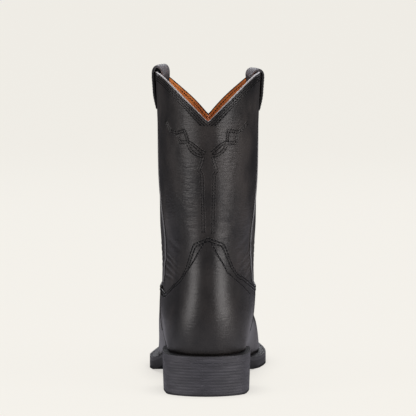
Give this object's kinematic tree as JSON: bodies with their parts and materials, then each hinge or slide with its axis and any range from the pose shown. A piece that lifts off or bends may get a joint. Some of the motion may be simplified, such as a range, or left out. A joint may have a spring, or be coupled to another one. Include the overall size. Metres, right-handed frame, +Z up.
{
  "type": "roper boot",
  "caption": "Pull-on leather boot with a short shaft, scooped collar with pull straps, heel overlay, welted sole and low stacked heel",
  "frame": {"origin": "middle of the boot's footprint box, on the floor that the heel and forefoot rest on", "axes": "+Y to the toe, +Z up, +X to the medial side of this left boot"},
  "size_m": [0.1073, 0.3, 0.2852],
  "materials": {
    "upper_leather": "smooth waxed black",
    "overlay_leather": "smooth waxed black",
    "piping_leather": "satin black",
    "strap_leather": "satin black",
    "insole_leather": "matte tan",
    "welt": "satin black edge dye",
    "outsole": "matte black",
    "heel_stack": "matte dark grey, fine layers"
  },
  "bodies": {
    "root": {"upper": "upper_leather", "vamp": "overlay_leather", "counter": "overlay_leather", "piping_medial": "piping_leather", "piping_lateral": "piping_leather", "collar_binding": "piping_leather", "pull_strap_medial": "strap_leather", "pull_strap_lateral": "strap_leather", "insole": "insole_leather", "welt": "welt", "outsole": "outsole", "heel": "heel_stack"}
  },
  "joints": []
}
